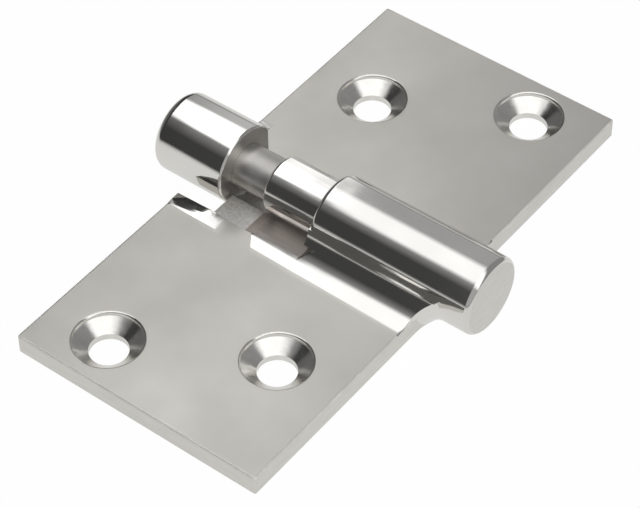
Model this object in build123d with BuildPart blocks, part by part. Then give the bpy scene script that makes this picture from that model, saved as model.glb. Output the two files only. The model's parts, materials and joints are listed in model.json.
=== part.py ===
# Lift-off hinge: two cast leaves lying open and flat, and the stepped pin they turn on.
# x runs along the pin, y across the leaves, z up. The undersides lie on z = 0.
import math
import os
from build123d import *

os.makedirs("parts", exist_ok=True)

# Driving sizes, in millimetres. Places along the pin count from the leaves' left edge.
leaf_width = 40.0
leaf_reach = 41.0
leaf_thickness = 3.0
head_radius = 5.9
barrel_radius = 5.75
head_overhang = 6.2
barrel_overhang = 7.4
head_length = 12.2
journal_start = 12.0
barrel_start = 21.2
neck_radius = 3.3
journal_radius = 4.2
screw_radius = 2.75
screw_head_radius = 4.8
screw_head_angle = 110
screw_land = 0.6
outer_hole_inset = 6.7
inner_hole_inset = 17.2
hole_step = 10.0

# Relief and buffing of the barrel leaf's ridge
relief_start = 9.4
relief_end = 16.0
relief_lean = 4.4
relief_back = 5.6
relief_margin = 1.3
scoop_radius = 8.0
buff_rise = 0.5
buff_length = 7.0
end_rise = 1.0
end_length = 2.8
shoulder_length = 2.0
shoulder_rise = 2.0
thin_web = 0.8

# Relief behind the head
head_flat = 4.9
head_relief_radius = 4.0

# Clearances and finishing radii
spigot_clearance = 0.03
bore_clearance = 0.05
head_gap = 0.3
pin_gap = 0.4
end_gap = 0.4
ridge_gap = 2.55
swing_gap = 2.4
bare_gap = 3.55
web_gap = 0.35
lip_share = 0.74
bore_share = 0.6
spigot_share = 0.4
root_radius = 5.4
flare_radius = 3.0
rim_radius = 0.8
head_rim_radius = 1.3
mouth_radius = 0.7
face_radius = 0.4
edge_radius = 0.3
land_radius = 0.35
pin_edge_radius = 0.5
pin_tip = 0.7

# Sizes that follow from them
axis_z = head_radius
head_x = -(leaf_width + head_overhang + barrel_overhang) / 2
barrel_end_x = -head_x
left_x = head_x + head_overhang
right_x = left_x + leaf_width
middle_x = (left_x + right_x) / 2
head_face_x = head_x + head_length
notch_x = head_face_x + head_gap
journal_x = left_x + journal_start
tongue_x = journal_x - head_gap / 2
barrel_x = left_x + barrel_start
ridge_radius = barrel_radius + ridge_gap
swing_radius = barrel_radius + swing_gap
bare_radius = neck_radius + bare_gap
web_radius = bare_radius - web_gap
lip_y = bare_radius * lip_share
groove_radius = journal_radius + pin_gap
outer_hole_y = leaf_reach - outer_hole_inset
inner_hole_y = leaf_reach - inner_hole_inset
bore_end_x = barrel_end_x - barrel_overhang * bore_share
pin_end_x = bore_end_x - end_gap
spigot_end_x = head_x + head_overhang * spigot_share
spigot_bore_x = spigot_end_x - end_gap

pin_line = Plane(origin=(0, 0, axis_z), x_dir=(0, 1, 0), z_dir=(1, 0, 0))
pin_axis = Axis((0, 0, axis_z), (1, 0, 0))
leaf_top = Plane.XY.offset(leaf_thickness)
sink_z = leaf_thickness - screw_land


# A leaf's root is a hollow that touches both the leaf's face and the round body
def hollow_points(radius, side):
    reach = radius + root_radius
    rise = leaf_thickness + root_radius - axis_z
    foot = math.sqrt(reach**2 - rise**2)
    middle = (math.atan2(rise, foot) + math.pi / 2) / 2
    start = (side * foot, leaf_thickness)
    low = (side * (foot - root_radius * math.cos(middle)), axis_z + rise - root_radius * math.sin(middle))
    touch = (side * foot * radius / reach, axis_z + rise * radius / reach)
    return start, low, touch


near_start, near_low, near_touch = hollow_points(barrel_radius, -1)
far_start, far_low, far_touch = hollow_points(head_radius, 1)
near_foot = -near_start[0]
far_foot = far_start[0]
barrel_top = axis_z + barrel_radius
head_top = axis_z + head_radius
barrel_crest = barrel_top + flare_radius
head_crest = head_top + flare_radius
relief_x = left_x + relief_start
relief_end_x = left_x + relief_end
relief_near = near_foot + relief_margin

# Flares that carry the end of a root round into the overhanging body
with BuildPart() as barrel_flare:
    with BuildSketch(Plane.XZ):
        with BuildLine():
            Polyline(
                (right_x + flare_radius, barrel_top),
                (right_x + flare_radius, axis_z),
                (right_x - edge_radius, axis_z),
                (right_x - edge_radius, barrel_crest),
                (right_x, barrel_crest),
            )
            RadiusArc((right_x, barrel_crest), (right_x + flare_radius, barrel_top), -flare_radius)
        make_face()
    revolve(axis=pin_axis)
    with BuildSketch(Plane.YZ.offset(right_x - edge_radius)):
        with BuildLine():
            ThreePointArc(near_start, near_low, near_touch)
            Polyline(near_touch, (0, near_touch[1]), (0, 0), (near_start[0], 0), near_start)
        make_face()
    extrude(amount=flare_radius + edge_radius, mode=Mode.INTERSECT)

with BuildPart() as head_flare:
    with BuildSketch(Plane.XZ):
        with BuildLine():
            Polyline(
                (left_x - flare_radius, head_top),
                (left_x - flare_radius, axis_z),
                (left_x + edge_radius, axis_z),
                (left_x + edge_radius, head_crest),
                (left_x, head_crest),
            )
            RadiusArc((left_x, head_crest), (left_x - flare_radius, head_top), flare_radius)
        make_face()
    revolve(axis=pin_axis)
    with BuildSketch(Plane.YZ.offset(left_x + edge_radius)):
        with BuildLine():
            ThreePointArc(far_start, far_low, far_touch)
            Polyline(far_touch, (0, far_touch[1]), (0, 0), (far_start[0], 0), far_start)
        make_face()
    extrude(amount=-flare_radius - edge_radius, mode=Mode.INTERSECT)

# Closed barrel, rounded at both rims
with BuildPart() as barrel_body:
    with BuildSketch(pin_line.offset(barrel_x)):
        Circle(barrel_radius)
    extrude(amount=barrel_end_x - barrel_x)
    fillet(barrel_body.edges().group_by(Axis.X)[-1], radius=rim_radius)
    fillet(barrel_body.edges().filter_by(GeomType.CIRCLE).group_by(Axis.X)[0], radius=mouth_radius)

# Head of the other leaf, rounded in the same way
with BuildPart() as head_body:
    with BuildSketch(pin_line.offset(head_x)):
        Circle(head_radius)
    extrude(amount=head_length)
    fillet(head_body.edges().filter_by(GeomType.CIRCLE).group_by(Axis.X)[-1], radius=face_radius)
    fillet(head_body.edges().filter_by(GeomType.CIRCLE).group_by(Axis.X)[0], radius=head_rim_radius)

with BuildPart() as barrel_leaf:
    # Hollow root along the whole leaf, and the flat leaf on the near side
    with BuildSketch(Plane.YZ.offset(left_x)):
        with BuildLine():
            ThreePointArc(near_start, near_low, near_touch)
            Polyline(near_touch, (0, near_touch[1]), (0, 0), (near_start[0], 0), near_start)
        make_face()
    extrude(amount=leaf_width)
    with BuildSketch():
        with Locations((middle_x, -(leaf_reach + near_foot) / 2)):
            Rectangle(leaf_width, leaf_reach - near_foot)
    extrude(amount=leaf_thickness)
    fillet(barrel_leaf.edges().filter_by(Axis.Z).group_by(Axis.Y)[0], radius=edge_radius)
    near_rim = barrel_leaf.edges().group_by(Axis.Y)[0].sort_by(Axis.Z)[-1]
    fillet(near_rim, radius=edge_radius)
    add(barrel_flare.part)
    # Web that carries on under the pin, round to the other leaf's edge
    with BuildSketch(pin_line.offset(notch_x)):
        Circle(web_radius)
        with Locations((0, -axis_z + leaf_thickness / 2)):
            Rectangle(2 * web_radius, leaf_thickness, mode=Mode.INTERSECT)
    extrude(amount=barrel_x - notch_x)
    # Room for the other leaf's head to turn
    with BuildSketch(pin_line.offset(head_x)):
        Circle(ridge_radius)
    extrude(amount=notch_x - head_x, mode=Mode.SUBTRACT)
    # Ridge cut back round the pin
    with BuildSketch(pin_line.offset(notch_x)):
        Circle(ridge_radius)
        with Locations((0, leaf_thickness - axis_z + ridge_radius)):
            Rectangle(2 * ridge_radius, 2 * ridge_radius, mode=Mode.INTERSECT)
    extrude(amount=barrel_x - notch_x, mode=Mode.SUBTRACT)
    # Trough beside the barrel, down to the thin web
    with BuildSketch(pin_line.offset(tongue_x)):
        Circle(ridge_radius)
        with Locations((0, thin_web - axis_z + ridge_radius)):
            Rectangle(2 * ridge_radius, 2 * ridge_radius, mode=Mode.INTERSECT)
    extrude(amount=barrel_x - tongue_x, mode=Mode.SUBTRACT)
    # Groove that lets the pin through the tongue
    with BuildSketch(pin_line.offset(notch_x)):
        Circle(groove_radius)
    extrude(amount=barrel_x - notch_x, mode=Mode.SUBTRACT)
    # Scooped relief across the ridge in front of the neck
    with BuildSketch(Plane.XZ.offset(relief_back)):
        with Locations((relief_x, leaf_thickness + scoop_radius)):
            Circle(scoop_radius)
    extrude(amount=relief_near - relief_back, mode=Mode.SUBTRACT)
    with BuildSketch(leaf_top):
        with BuildLine():
            Polyline(
                (relief_x, -relief_back),
                (relief_x, -relief_near),
                (relief_end_x, -relief_near),
                (relief_end_x - relief_lean, -relief_back),
                close=True,
            )
        make_face()
    extrude(amount=root_radius, mode=Mode.SUBTRACT)
    # Both pieces of the ridge are buffed away towards their left ends
    for start_x, low_x, high_x, rise in (
        (left_x - edge_radius, left_x, left_x + buff_length, buff_rise),
        (tongue_x - edge_radius, tongue_x, tongue_x + end_length, end_rise),
    ):
        with BuildSketch(Plane.XZ.offset(groove_radius)):
            with BuildLine():
                Polyline(
                    (start_x, leaf_thickness),
                    (low_x, leaf_thickness),
                    (high_x, leaf_thickness + rise),
                    (high_x, leaf_thickness + root_radius),
                    (start_x, leaf_thickness + root_radius),
                    close=True,
                )
            make_face()
        extrude(amount=ridge_radius, mode=Mode.SUBTRACT)
    # So is the left shoulder of the barrel's root
    with BuildSketch(Plane.XZ.offset(barrel_radius + face_radius)):
        with BuildLine():
            Polyline(
                (barrel_x, leaf_thickness + buff_rise),
                (barrel_x + shoulder_length, leaf_thickness + shoulder_rise),
                (barrel_x, leaf_thickness + shoulder_rise),
                close=True,
            )
        make_face()
    extrude(amount=ridge_radius, mode=Mode.SUBTRACT)
    # Closed barrel with its blind bore
    add(barrel_body.part)
    with BuildSketch(pin_line.offset(barrel_x)):
        Circle(journal_radius + bore_clearance)
    extrude(amount=bore_end_x - barrel_x, mode=Mode.SUBTRACT)
    # Two countersunk screw holes, set off from each other
    with Locations(
        (middle_x - hole_step, -outer_hole_y, sink_z),
        (middle_x + hole_step, -inner_hole_y, sink_z),
    ):
        CounterSinkHole(screw_radius, screw_head_radius, leaf_thickness, screw_head_angle)
    arcs = barrel_leaf.edges().filter_by(GeomType.CIRCLE)
    level_arcs = arcs.filter_by_position(Axis.Z, sink_z + edge_radius, leaf_thickness)
    fillet(level_arcs.filter_by(lambda arc: arc.is_closed), radius=land_radius)
barrel_leaf.part.label = "barrel_leaf"
export_step(barrel_leaf.part, "parts/barrel_leaf.step")

with BuildPart() as pin_leaf:
    # The same hollow root, turned half round, and the flat leaf on the far side
    with BuildSketch(Plane.YZ.offset(left_x)):
        with BuildLine():
            ThreePointArc(far_start, far_low, far_touch)
            Polyline(far_touch, (0, far_touch[1]), (0, 0), (far_start[0], 0), far_start)
        make_face()
    extrude(amount=leaf_width)
    with BuildSketch():
        with Locations((middle_x, (leaf_reach + far_foot) / 2)):
            Rectangle(leaf_width, leaf_reach - far_foot)
    extrude(amount=leaf_thickness)
    fillet(pin_leaf.edges().filter_by(Axis.Z).group_by(Axis.Y)[-1], radius=edge_radius)
    far_rim = pin_leaf.edges().group_by(Axis.Y)[-1].sort_by(Axis.Z)[-1]
    fillet(far_rim, radius=edge_radius)
    add(head_flare.part)
    # Room to turn round the other leaf's barrel, and round the bare pin and its web
    with BuildSketch(pin_line.offset(barrel_x - head_gap)):
        Circle(swing_radius)
    extrude(amount=barrel_end_x - barrel_x + head_gap, mode=Mode.SUBTRACT)
    with BuildSketch(pin_line.offset(head_face_x)):
        Circle(bare_radius)
        with Locations((lip_y / 2, -axis_z / 2)):
            Rectangle(lip_y, axis_z)
    extrude(amount=barrel_x - head_face_x, mode=Mode.SUBTRACT)
    # No ridge is left behind the pin and the barrel
    with BuildSketch(leaf_top):
        with Locations(((head_face_x + right_x) / 2, far_foot - swing_radius / 2 + edge_radius)):
            Rectangle(right_x - head_face_x, swing_radius)
    extrude(amount=root_radius, mode=Mode.SUBTRACT)
    # Head, milled flat behind its face, with the bore for the pin's spigot
    add(head_body.part)
    with BuildSketch(leaf_top):
        with Locations((head_face_x, head_flat + head_relief_radius)):
            Circle(head_relief_radius)
    extrude(amount=2 * head_radius, mode=Mode.SUBTRACT)
    with BuildSketch(pin_line.offset(head_face_x)):
        Circle(neck_radius + spigot_clearance)
    extrude(amount=spigot_bore_x - head_face_x, mode=Mode.SUBTRACT)
    # Two countersunk screw holes, opposite to those of the first leaf
    with Locations(
        (middle_x + hole_step, outer_hole_y, sink_z),
        (middle_x - hole_step, inner_hole_y, sink_z),
    ):
        CounterSinkHole(screw_radius, screw_head_radius, leaf_thickness, screw_head_angle)
    arcs = pin_leaf.edges().filter_by(GeomType.CIRCLE)
    level_arcs = arcs.filter_by_position(Axis.Z, sink_z + edge_radius, leaf_thickness)
    fillet(level_arcs.filter_by(lambda arc: arc.is_closed), radius=land_radius)
pin_leaf.part.label = "pin_leaf"
export_step(pin_leaf.part, "parts/pin_leaf.step")

with BuildPart() as hinge_pin:
    # Spigot and bare neck
    with BuildSketch(pin_line.offset(spigot_end_x)):
        Circle(neck_radius)
    extrude(amount=journal_x - spigot_end_x)
    # Polished journal that turns in the barrel
    with BuildSketch(pin_line.offset(journal_x)):
        Circle(journal_radius)
    extrude(amount=pin_end_x - journal_x)
    rings = hinge_pin.edges().filter_by(GeomType.CIRCLE)
    shoulder = rings.filter_by_position(Axis.X, journal_x - end_gap, journal_x + end_gap)
    fillet(shoulder.sort_by(SortBy.RADIUS)[-1], radius=pin_edge_radius)
    chamfer(hinge_pin.edges().filter_by(GeomType.CIRCLE).group_by(Axis.X)[-1], length=pin_tip)
hinge_pin.part.label = "hinge_pin"
export_step(hinge_pin.part, "parts/hinge_pin.step")
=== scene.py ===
import json
import math
import bpy
from mathutils import Matrix, Vector

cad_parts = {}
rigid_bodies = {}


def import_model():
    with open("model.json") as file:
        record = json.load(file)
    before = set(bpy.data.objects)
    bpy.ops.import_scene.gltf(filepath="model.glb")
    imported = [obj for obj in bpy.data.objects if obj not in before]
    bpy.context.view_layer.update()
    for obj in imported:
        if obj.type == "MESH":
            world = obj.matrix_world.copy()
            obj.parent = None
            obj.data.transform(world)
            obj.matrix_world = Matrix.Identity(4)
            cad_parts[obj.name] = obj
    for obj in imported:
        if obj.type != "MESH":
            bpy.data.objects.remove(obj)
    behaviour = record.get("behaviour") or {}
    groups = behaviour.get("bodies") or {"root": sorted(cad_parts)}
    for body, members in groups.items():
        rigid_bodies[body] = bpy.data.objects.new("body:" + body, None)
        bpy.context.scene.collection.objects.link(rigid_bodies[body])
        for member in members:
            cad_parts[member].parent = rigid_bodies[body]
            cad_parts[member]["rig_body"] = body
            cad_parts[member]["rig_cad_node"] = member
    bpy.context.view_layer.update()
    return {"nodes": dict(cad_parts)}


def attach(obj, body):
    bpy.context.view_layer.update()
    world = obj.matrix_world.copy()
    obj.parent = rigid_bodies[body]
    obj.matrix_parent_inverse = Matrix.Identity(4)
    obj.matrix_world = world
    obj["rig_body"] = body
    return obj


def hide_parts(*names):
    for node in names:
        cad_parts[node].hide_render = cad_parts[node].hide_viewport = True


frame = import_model()
mm = 0.001
print("frame loaded:", sorted(frame["nodes"]))


# shared bits for the finishes

def startFinish(name):
    finish = bpy.data.materials.new(name)
    finish.use_nodes = True
    tree = finish.node_tree
    shader = tree.nodes["Principled BSDF"]
    shader.inputs["Metallic"].default_value = 1.0
    place = tree.nodes.new("ShaderNodeTexCoord")
    return finish, tree, shader, place


def addNoise(tree, place, size, detail, stretch=(1, 1, 1)):
    turn = tree.nodes.new("ShaderNodeMapping")
    turn.inputs["Scale"].default_value = stretch
    noise = tree.nodes.new("ShaderNodeTexNoise")
    noise.inputs["Scale"].default_value = 1.0 / size      # size of one patch, in metres
    noise.inputs["Detail"].default_value = detail
    tree.links.new(place.outputs["Object"], turn.inputs["Vector"])
    tree.links.new(turn.outputs["Vector"], noise.inputs["Vector"])
    return noise


def addRamp(tree, source, low, high, start=0.3, end=0.7):
    ramp = tree.nodes.new("ShaderNodeValToRGB")
    ramp.color_ramp.elements[0].position = start
    ramp.color_ramp.elements[0].color = (*low, 1)
    ramp.color_ramp.elements[1].position = end
    ramp.color_ramp.elements[1].color = (*high, 1)
    tree.links.new(source, ramp.inputs["Fac"])
    return ramp


def addRange(tree, source, low, high):
    spread = tree.nodes.new("ShaderNodeMapRange")
    spread.inputs["From Min"].default_value = 0.3
    spread.inputs["From Max"].default_value = 0.7
    spread.inputs["To Min"].default_value = low
    spread.inputs["To Max"].default_value = high
    tree.links.new(source, spread.inputs["Value"])
    return spread


def addBump(tree, source, height, strength, before=None):
    bump = tree.nodes.new("ShaderNodeBump")
    bump.inputs["Distance"].default_value = height
    bump.inputs["Strength"].default_value = strength
    tree.links.new(source, bump.inputs["Height"])
    if before:
        tree.links.new(before.outputs["Normal"], bump.inputs["Normal"])
    return bump


# satin leaf faces: tumbled steel with faint smudges
satin = {"dark": (0.645, 0.63, 0.59), "light": (0.705, 0.69, 0.65), "smudge": 11 * mm, "grain": 0.22 * mm}


def makeSatinSteel():
    finish, tree, shader, place = startFinish("satinSteel")
    smudge = addNoise(tree, place, satin["smudge"], 4.0)
    grain = addNoise(tree, place, satin["grain"], 2.0)
    tone = addRamp(tree, smudge.outputs["Fac"], satin["dark"], satin["light"])
    tree.links.new(tone.outputs["Color"], shader.inputs["Base Color"])
    rough = addRange(tree, smudge.outputs["Fac"], 0.36, 0.32)
    tree.links.new(rough.outputs["Result"], shader.inputs["Roughness"])
    bump = addBump(tree, grain.outputs["Fac"], 0.01 * mm, 0.25)
    tree.links.new(bump.outputs["Normal"], shader.inputs["Normal"])
    return finish


# ground edges of the leaves and the ends of the barrel and head
ground = {"dark": (0.735, 0.725, 0.695), "light": (0.815, 0.805, 0.775), "streak": 0.5 * mm}


def makeGroundSteel():
    finish, tree, shader, place = startFinish("groundSteel")
    streak = addNoise(tree, place, ground["streak"], 3.0, (0.15, 0.15, 1))
    tone = addRamp(tree, streak.outputs["Fac"], ground["dark"], ground["light"])
    tree.links.new(tone.outputs["Color"], shader.inputs["Base Color"])
    rough = addRange(tree, streak.outputs["Fac"], 0.46, 0.54)
    tree.links.new(rough.outputs["Result"], shader.inputs["Roughness"])
    bump = addBump(tree, streak.outputs["Fac"], 0.01 * mm, 0.2)
    tree.links.new(bump.outputs["Normal"], shader.inputs["Normal"])
    return finish


# rounded rims of the leaves, matt from tumbling, with a pale colour that is a painted highlight lifting the
# dark reflection along the rims
wornWithHighlight = {"dark": (0.86, 0.85, 0.82), "light": (0.94, 0.93, 0.90), "rub": 2.0 * mm}


def makeWornHighlightSteel():
    finish, tree, shader, place = startFinish("wornHighlightSteel")
    rub = addNoise(tree, place, wornWithHighlight["rub"], 3.0)
    # painted highlight: the pale rim colour stands in for light along the rounded rims
    tone = addRamp(tree, rub.outputs["Fac"], wornWithHighlight["dark"], wornWithHighlight["light"])
    tree.links.new(tone.outputs["Color"], shader.inputs["Base Color"])
    rough = addRange(tree, rub.outputs["Fac"], 0.72, 0.8)
    tree.links.new(rough.outputs["Result"], shader.inputs["Roughness"])
    return finish


# buffed barrel, head, journal and hollows
mirror = {"dark": (0.76, 0.75, 0.725), "light": (0.82, 0.81, 0.785), "wave": 7 * mm, "hairline": 0.12 * mm}


def makeMirrorSteel():
    finish, tree, shader, place = startFinish("mirrorSteel")
    wave = addNoise(tree, place, mirror["wave"], 1.0)
    hairline = addNoise(tree, place, mirror["hairline"], 2.0, (0.06, 1, 1))
    tone = addRamp(tree, wave.outputs["Fac"], mirror["dark"], mirror["light"])
    tree.links.new(tone.outputs["Color"], shader.inputs["Base Color"])
    rough = addRange(tree, hairline.outputs["Fac"], 0.06, 0.11)
    tree.links.new(rough.outputs["Result"], shader.inputs["Roughness"])
    slow = addBump(tree, wave.outputs["Fac"], 0.12 * mm, 0.3)
    fine = addBump(tree, hairline.outputs["Fac"], 0.002 * mm, 0.1, slow)
    tree.links.new(fine.outputs["Normal"], shader.inputs["Normal"])
    return finish


# countersinks, bright from the cutter and softened by tumbling
sink = {"dark": (0.74, 0.73, 0.70), "light": (0.84, 0.83, 0.80), "cloud": 1.6 * mm}


def makeSinkSteel():
    finish, tree, shader, place = startFinish("sinkSteel")
    cloud = addNoise(tree, place, sink["cloud"], 3.0)
    tone = addRamp(tree, cloud.outputs["Fac"], sink["dark"], sink["light"])
    tree.links.new(tone.outputs["Color"], shader.inputs["Base Color"])
    rough = addRange(tree, cloud.outputs["Fac"], 0.14, 0.2)
    tree.links.new(rough.outputs["Result"], shader.inputs["Roughness"])
    bump = addBump(tree, cloud.outputs["Fac"], 0.06 * mm, 0.3)
    tree.links.new(bump.outputs["Normal"], shader.inputs["Normal"])
    return finish


# tongue and trough under the pin, left rough from casting; the pale end of the tone is painted light lifting
# the shade under the pin
castAndLit = {"dark": (0.66, 0.645, 0.62), "light": (0.86, 0.85, 0.82), "pit": 0.45 * mm}


def makeCastLitSteel():
    finish, tree, shader, place = startFinish("castLitSteel")
    pit = addNoise(tree, place, castAndLit["pit"], 4.0)
    # painted light: the light end of this pitted tone brightens the shaded area under the pin; the spread
    # between dark and light varies at random
    tone = addRamp(tree, pit.outputs["Fac"], castAndLit["dark"], castAndLit["light"])
    tree.links.new(tone.outputs["Color"], shader.inputs["Base Color"])
    rough = addRange(tree, pit.outputs["Fac"], 0.52, 0.42)
    tree.links.new(rough.outputs["Result"], shader.inputs["Roughness"])
    bump = addBump(tree, pit.outputs["Fac"], 0.08 * mm, 0.5)
    tree.links.new(bump.outputs["Normal"], shader.inputs["Normal"])
    return finish


# trough beside the barrel, with milling lines along the pin; its pale colour is painted light lifting the
# shade under the journal
milledAndLit = {"dark": (0.80, 0.755, 0.73), "light": (0.90, 0.86, 0.835), "line": 0.3 * mm}


def makeMilledLitSteel():
    finish, tree, shader, place = startFinish("milledLitSteel")
    line = addNoise(tree, place, milledAndLit["line"], 2.0, (0.05, 1, 1))
    # painted light: the pale colour lifts the trough out of the shade it lies in under the journal
    tone = addRamp(tree, line.outputs["Fac"], milledAndLit["dark"], milledAndLit["light"])
    tree.links.new(tone.outputs["Color"], shader.inputs["Base Color"])
    rough = addRange(tree, line.outputs["Fac"], 0.38, 0.46)
    tree.links.new(rough.outputs["Result"], shader.inputs["Roughness"])
    bump = addBump(tree, line.outputs["Fac"], 0.01 * mm, 0.3)
    tree.links.new(bump.outputs["Normal"], shader.inputs["Normal"])
    return finish


# turned neck and head face
turned = {"dark": (0.54, 0.525, 0.50), "light": (0.65, 0.635, 0.61),
          "axisHeight": 5.9 * mm, "pitch": 0.16 * mm}


def makeTurnedSteel():
    finish, tree, shader, place = startFinish("turnedSteel")
    centre = tree.nodes.new("ShaderNodeMapping")
    centre.inputs["Location"].default_value = (0, 0, -turned["axisHeight"])
    tree.links.new(place.outputs["Object"], centre.inputs["Vector"])
    rings = tree.nodes.new("ShaderNodeTexWave")
    rings.wave_type = "RINGS"
    rings.rings_direction = "X"
    rings.inputs["Scale"].default_value = 0.05 / turned["pitch"]
    rings.inputs["Distortion"].default_value = 1.5
    tree.links.new(centre.outputs["Vector"], rings.inputs["Vector"])
    cloud = addNoise(tree, place, 2.5 * mm, 3.0)
    tone = addRamp(tree, cloud.outputs["Fac"], turned["dark"], turned["light"])
    tree.links.new(tone.outputs["Color"], shader.inputs["Base Color"])
    rough = addRange(tree, cloud.outputs["Fac"], 0.34, 0.42)
    tree.links.new(rough.outputs["Result"], shader.inputs["Roughness"])
    bump = addBump(tree, rings.outputs["Fac"], 0.008 * mm, 0.3)
    tree.links.new(bump.outputs["Normal"], shader.inputs["Normal"])
    return finish


steel = {"satin": makeSatinSteel(), "ground": makeGroundSteel(), "wornWithHighlight": makeWornHighlightSteel(),
         "mirror": makeMirrorSteel(),
         "sink": makeSinkSteel(), "castAndLit": makeCastLitSteel(), "milledAndLit": makeMilledLitSteel(),
         "turned": makeTurnedSteel()}
print("finishes made")


# each steel piece is a merged, smooth copy of its solid

def takeCopy(node, name, smoothAngle):
    bpy.ops.object.select_all(action="DESELECT")
    source = frame["nodes"][node]
    piece = source.copy()
    piece.data = source.data.copy()
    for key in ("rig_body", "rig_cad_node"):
        if key in piece:
            del piece[key]
    piece.parent = None
    piece.name = name
    piece.data.name = name
    bpy.context.collection.objects.link(piece)
    bpy.context.view_layer.objects.active = piece
    piece.select_set(True)
    bpy.ops.mesh.customdata_custom_splitnormals_clear()
    bpy.ops.object.mode_set(mode="EDIT")
    bpy.ops.mesh.select_all(action="SELECT")
    bpy.ops.mesh.remove_doubles(threshold=0.0005 * mm)
    bpy.ops.object.mode_set(mode="OBJECT")
    bpy.ops.object.shade_smooth_by_angle(angle=math.radians(smoothAngle))
    bpy.ops.object.modifier_add(type="WEIGHTED_NORMAL")
    piece.modifiers[-1].weight = 100
    piece.modifiers[-1].keep_sharp = True
    bpy.ops.object.modifier_apply(modifier=piece.modifiers[-1].name)
    piece.data.materials.clear()
    return piece


def dressFaces(piece, names, choose):
    for name in names:
        piece.data.materials.append(steel[name])
    for face in piece.data.polygons:
        face.material_index = names.index(choose(face.center / mm, face.normal))


# places along and about the pin, in millimetres
leaf = {"top": 3.0, "left": -20.6, "right": 19.4, "reach": 41.0}
axle = {"height": 5.9, "face": -14.6, "journal": -8.6, "barrel": 0.6, "ridge": 8.3, "bare": 6.85}
holes = {"radius": 5.3, "spots": ((-10.6, -34.3), (9.4, -23.8), (9.4, 34.3), (-10.6, 23.8))}


def fromAxis(c):
    return math.hypot(c.y, c.z - axle["height"])


def isCountersink(c):
    return any(math.hypot(c.x - x, c.y - y) < holes["radius"] for x, y in holes["spots"])


def isTrough(c):
    besidePin = axle["journal"] - 0.2 < c.x < axle["barrel"] + 0.1
    return besidePin and fromAxis(c) < axle["ridge"] + 0.05 and c.z < leaf["top"] + 0.05


def isUnderPin(c, reach):
    besidePin = axle["face"] - 0.1 < c.x < axle["barrel"] + 0.1
    return besidePin and fromAxis(c) < reach and 0.1 < c.z < leaf["top"] + 0.05


def chooseLeafFace(c, n):
    if c.z < 0.05 or (abs(c.z - leaf["top"]) < 0.05 and n.z > 0.95):
        return "satin"
    if isCountersink(c):
        return "sink"
    if c.z < leaf["top"] + 0.02 and abs(c.y) > 12:
        return "wornWithHighlight" if n.z > 0.15 else "ground"
    if c.z < leaf["top"] and abs(n.x) > 0.9:
        return "ground"
    return "mirror"


def chooseBarrelLeaf(c, n):
    if isUnderPin(c, axle["ridge"] + 0.05):
        return "milledAndLit" if isTrough(c) else "castAndLit"
    if n.x > 0.95 and c.x > 26:
        return "ground"
    return chooseLeafFace(c, n)


barrelLeaf = takeCopy("barrel_leaf", "barrelLeaf", 28)
dressFaces(barrelLeaf, ("satin", "ground", "wornWithHighlight", "mirror", "sink", "castAndLit", "milledAndLit"), chooseBarrelLeaf)
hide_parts("barrel_leaf")
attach(barrelLeaf, "barrel_leaf")
print("barrel leaf dressed")


def choosePinLeaf(c, n):
    if -15 < c.x < -14.4 and n.x > 0.9 and fromAxis(c) < 5.9:
        return "turned"
    if isUnderPin(c, axle["bare"] + 0.05):
        return "castAndLit"
    if n.x < -0.95 and c.x < -26:
        return "ground"
    return chooseLeafFace(c, n)


pinLeaf = takeCopy("pin_leaf", "pinLeaf", 28)
dressFaces(pinLeaf, ("satin", "ground", "wornWithHighlight", "mirror", "sink", "castAndLit", "turned"), choosePinLeaf)
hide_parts("pin_leaf")
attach(pinLeaf, "pin_leaf")
print("pin leaf dressed")


def choosePin(c, n):
    return "turned" if c.x < axle["journal"] - 0.02 else "mirror"


hingePin = takeCopy("hinge_pin", "hingePin", 28)
dressFaces(hingePin, ("mirror", "turned"), choosePin)
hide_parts("hinge_pin")
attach(hingePin, "hinge_pin")
print("pin dressed")


# camera at the photograph's angle
lens = {"azimuth": 37.92, "elevation": 46.469, "roll": -0.552, "distance": 354.1 * mm,
        "target": (2.19 * mm, -5.19 * mm, 3.0 * mm), "focal": 147.14}


def placeCamera():
    a, e, r = (math.radians(lens[k]) for k in ("azimuth", "elevation", "roll"))
    back = Vector((math.sin(a) * math.cos(e), -math.cos(a) * math.cos(e), math.sin(e)))
    right = Vector((math.cos(a), math.sin(a), 0))
    up = back.cross(right)
    across = right * math.cos(r) + up * math.sin(r)
    upright = up * math.cos(r) - right * math.sin(r)
    bpy.ops.object.camera_add()
    camera = bpy.context.object
    camera.name = "photoCamera"
    camera.data.lens = lens["focal"]
    camera.data.sensor_width = 36
    camera.data.clip_start = 0.01
    camera.data.clip_end = 20
    camera.matrix_world = (Matrix.Translation(Vector(lens["target"]) + back * lens["distance"])
                           @ Matrix((across, upright, back)).transposed().to_4x4())
    bpy.context.scene.camera = camera


placeCamera()
print("camera placed")


# the studio: a pale floor under an arched light tent, with a grey wall behind,
# white panels overhead and a dark cloth in front; angles lean forward from straight up
studio = {"floor": 4.0, "seen": 0.98, "mirrored": 0.85, "grey": 0.8,
          "radius": 0.7, "reach": 1.2, "strength": 2.2, "end": 0.13, "clothFoot": 52}
bays = ({"edge": (-1.05, -0.85), "wall": 0.02, "panel": 0.02, "cloth": (0.02, 0.02),
         "start": (-55, -42), "stop": (13, 22)},
        {"edge": (-0.445, -0.393), "wall": 0.25, "panel": 1.0, "cloth": (0.12, 0.025),
         "start": (-55, -42), "stop": (13, 22)},
        {"edge": (-0.37, -0.357), "wall": 0.6, "panel": 0.7, "cloth": (0.12, 0.025),
         "start": (-55, -42), "stop": (13, 22)},
        {"edge": (-0.338, -0.316), "wall": 0.18, "panel": 0.56, "cloth": (0.12, 0.025),
         "start": (-32, -19), "stop": (22, 32)},
        {"edge": (-0.28, -0.02), "wall": 0.12, "panel": 0.6, "cloth": (0.2, 0.2),
         "start": (-22, -8), "stop": (30, 40)})


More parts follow.
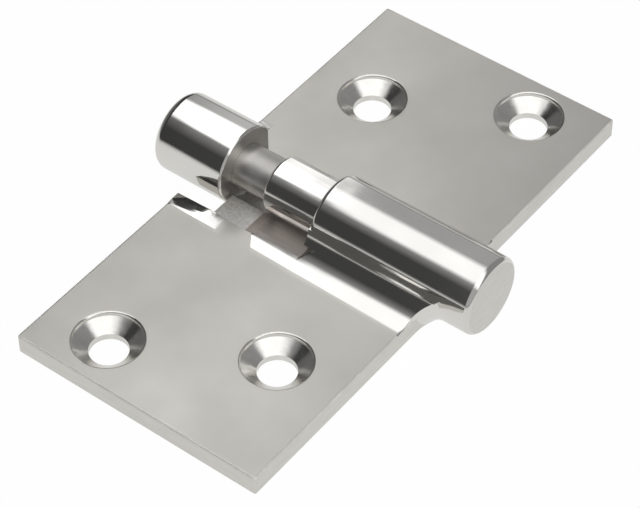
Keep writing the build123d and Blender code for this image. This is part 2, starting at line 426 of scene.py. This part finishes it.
def addTone(tree, turn, bay):
    stops = ((-90, bay["wall"]), (bay["start"][0], bay["wall"]), (bay["start"][1], bay["panel"]),
             (bay["stop"][0], bay["panel"]), (bay["stop"][1], bay["cloth"][0]),
             (studio["clothFoot"], bay["cloth"][1]), (90, bay["cloth"][1]))
    ramp = tree.nodes.new("ShaderNodeValToRGB")
    places = ramp.color_ramp.elements
    while len(places) < len(stops):
        places.new(0.5)
    for spot, (degrees, level) in zip(places, stops):
        spot.position = degrees / 180 + 0.5
        spot.color = (level, level, level, 1)
    tree.links.new(turn, ramp.inputs["Fac"])
    return ramp


def addGlow(tree, source, strength):
    glow = tree.nodes.new("ShaderNodeEmission")
    glow.inputs["Strength"].default_value = strength
    tree.links.new(source, glow.inputs["Color"])
    return glow


def addFade(tree, source, edge):
    fade = tree.nodes.new("ShaderNodeMapRange")
    fade.interpolation_type = "SMOOTHSTEP"
    fade.inputs["From Min"].default_value = edge[0]
    fade.inputs["From Max"].default_value = edge[1]
    tree.links.new(source, fade.inputs["Value"])
    return fade


def makeTentFinish():
    finish = bpy.data.materials.new("tentGlow")
    finish.use_nodes = True
    tree = finish.node_tree
    tree.nodes.remove(tree.nodes["Principled BSDF"])
    place = tree.nodes.new("ShaderNodeTexCoord")
    parts = tree.nodes.new("ShaderNodeSeparateXYZ")
    forward = tree.nodes.new("ShaderNodeMath")
    forward.operation = "MULTIPLY"
    forward.inputs[1].default_value = -1
    angle = tree.nodes.new("ShaderNodeMath")
    angle.operation = "ARCTAN2"
    turn = tree.nodes.new("ShaderNodeMapRange")
    turn.inputs["From Min"].default_value = -math.pi / 2
    turn.inputs["From Max"].default_value = math.pi / 2
    tree.links.new(place.outputs["Object"], parts.inputs["Vector"])
    tree.links.new(parts.outputs["Y"], forward.inputs[0])
    tree.links.new(forward.outputs[0], angle.inputs[0])
    tree.links.new(parts.outputs["Z"], angle.inputs[1])
    tree.links.new(angle.outputs[0], turn.inputs["Value"])
    last = tree.nodes.new("ShaderNodeEmission")
    last.inputs["Strength"].default_value = studio["end"]
    for bay in bays:
        tone = addTone(tree, turn.outputs["Result"], bay)
        glow = addGlow(tree, tone.outputs["Color"], studio["strength"])
        blend = tree.nodes.new("ShaderNodeMixShader")
        tree.links.new(addFade(tree, parts.outputs["X"], bay["edge"]).outputs["Result"], blend.inputs["Fac"])
        tree.links.new(last.outputs[0], blend.inputs[1])
        tree.links.new(glow.outputs["Emission"], blend.inputs[2])
        last = blend
    tree.links.new(last.outputs["Shader"], tree.nodes["Material Output"].inputs["Surface"])
    return finish


def addTent(steps):
    points = []
    for x in (-studio["reach"], studio["reach"]):
        for i in range(steps + 1):
            turn = math.pi * (i / steps - 0.5)
            points.append((x, -studio["radius"] * math.sin(turn), studio["radius"] * math.cos(turn)))
    sides = [(i, i + 1, i + steps + 2, i + steps + 1) for i in range(steps)]
    ends = [tuple(range(steps + 1)), tuple(range(steps + 1, 2 * steps + 2))]
    mesh = bpy.data.meshes.new("lightTent")
    mesh.from_pydata(points, [], sides + ends)
    arch = bpy.data.objects.new("lightTent", mesh)
    bpy.context.collection.objects.link(arch)
    arch.data.materials.append(makeTentFinish())
    arch.visible_camera = False
    return arch


def makeFloorFinish():
    finish = bpy.data.materials.new("paleFloor")
    finish.use_nodes = True
    tree = finish.node_tree
    tree.nodes.remove(tree.nodes["Principled BSDF"])
    matte = tree.nodes.new("ShaderNodeBsdfDiffuse")
    matte.inputs["Color"].default_value = (0.9, 0.9, 0.9, 1)
    path = tree.nodes.new("ShaderNodeLightPath")
    bounce = tree.nodes.new("ShaderNodeMath")
    bounce.operation = "ADD"
    tree.links.new(path.outputs["Is Glossy Ray"], bounce.inputs[0])
    tree.links.new(path.outputs["Is Transmission Ray"], bounce.inputs[1])
    # painted pool of light: the floor seen in reflections is bright near the hinge and darkens farther out
    place = tree.nodes.new("ShaderNodeTexCoord")
    poolFalloff = tree.nodes.new("ShaderNodeTexGradient")
    poolFalloff.gradient_type = "SPHERICAL"
    spread = tree.nodes.new("ShaderNodeMapping")
    spread.inputs["Scale"].default_value = (4, 4, 4)
    tree.links.new(place.outputs["Object"], spread.inputs["Vector"])
    tree.links.new(spread.outputs["Vector"], poolFalloff.inputs["Vector"])
    paintedLightPool = addRamp(tree, poolFalloff.outputs["Fac"], (0.22, 0.22, 0.21), (1, 1, 0.98), 0.3, 0.8)
    last = matte.outputs["BSDF"]
    for source, share, strength in ((path.outputs["Is Camera Ray"], studio["seen"], 1.0),
                                    (bounce.outputs[0], studio["mirrored"], studio["grey"])):
        glow = tree.nodes.new("ShaderNodeEmission")
        glow.inputs["Strength"].default_value = strength
        part = tree.nodes.new("ShaderNodeMath")
        part.operation = "MULTIPLY"
        part.inputs[1].default_value = share
        mix = tree.nodes.new("ShaderNodeMixShader")
        tree.links.new(source, part.inputs[0])
        tree.links.new(part.outputs[0], mix.inputs["Fac"])
        tree.links.new(last, mix.inputs[1])
        tree.links.new(glow.outputs["Emission"], mix.inputs[2])
        last = mix.outputs["Shader"]
    # the reflected floor takes the painted pool of light
    tree.links.new(paintedLightPool.outputs["Color"], glow.inputs["Color"])
    tree.links.new(last, tree.nodes["Material Output"].inputs["Surface"])
    return finish


bpy.ops.object.select_all(action="DESELECT")
bpy.ops.mesh.primitive_plane_add(size=studio["floor"], location=(0, 0, -0.05 * mm))
floor = bpy.context.object
floor.name = "paleFloor"
floor.data.materials.append(makeFloorFinish())
lightTent = addTent(72)

world = bpy.data.worlds.new("studioAir")
bpy.context.scene.world = world
world.use_nodes = True
air = world.node_tree.nodes["Background"]
air.inputs["Color"].default_value = (1, 1, 1, 1)
air.inputs["Strength"].default_value = 1.0
bpy.context.scene.view_settings.view_transform = "Standard"
print("studio set")
